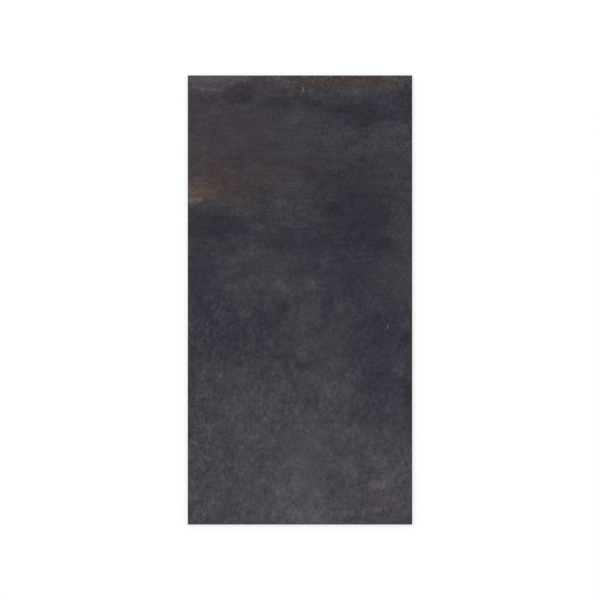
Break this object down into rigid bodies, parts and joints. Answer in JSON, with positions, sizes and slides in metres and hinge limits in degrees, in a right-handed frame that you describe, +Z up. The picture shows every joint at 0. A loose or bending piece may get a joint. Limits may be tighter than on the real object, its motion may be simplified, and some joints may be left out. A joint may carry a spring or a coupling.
{
  "type": "floor tile",
  "caption": "Rectified porcelain floor tile with a dark oxidised-metal look: a flat 2:1 slab with ground bevelled edges and a ribbed, keyed back for adhesive.",
  "frame": {"origin": "middle of the back, on the plane of the ribs and margin that the tile rests on", "axes": "+X across the tile, +Y along its length, +Z up, out of the walking face"},
  "size_m": [0.6, 1.2, 0.0095],
  "materials": {
    "fired_porcelain": "matte"
  },
  "bodies": {
    "root": {"tile": "fired_porcelain"}
  },
  "joints": []
}
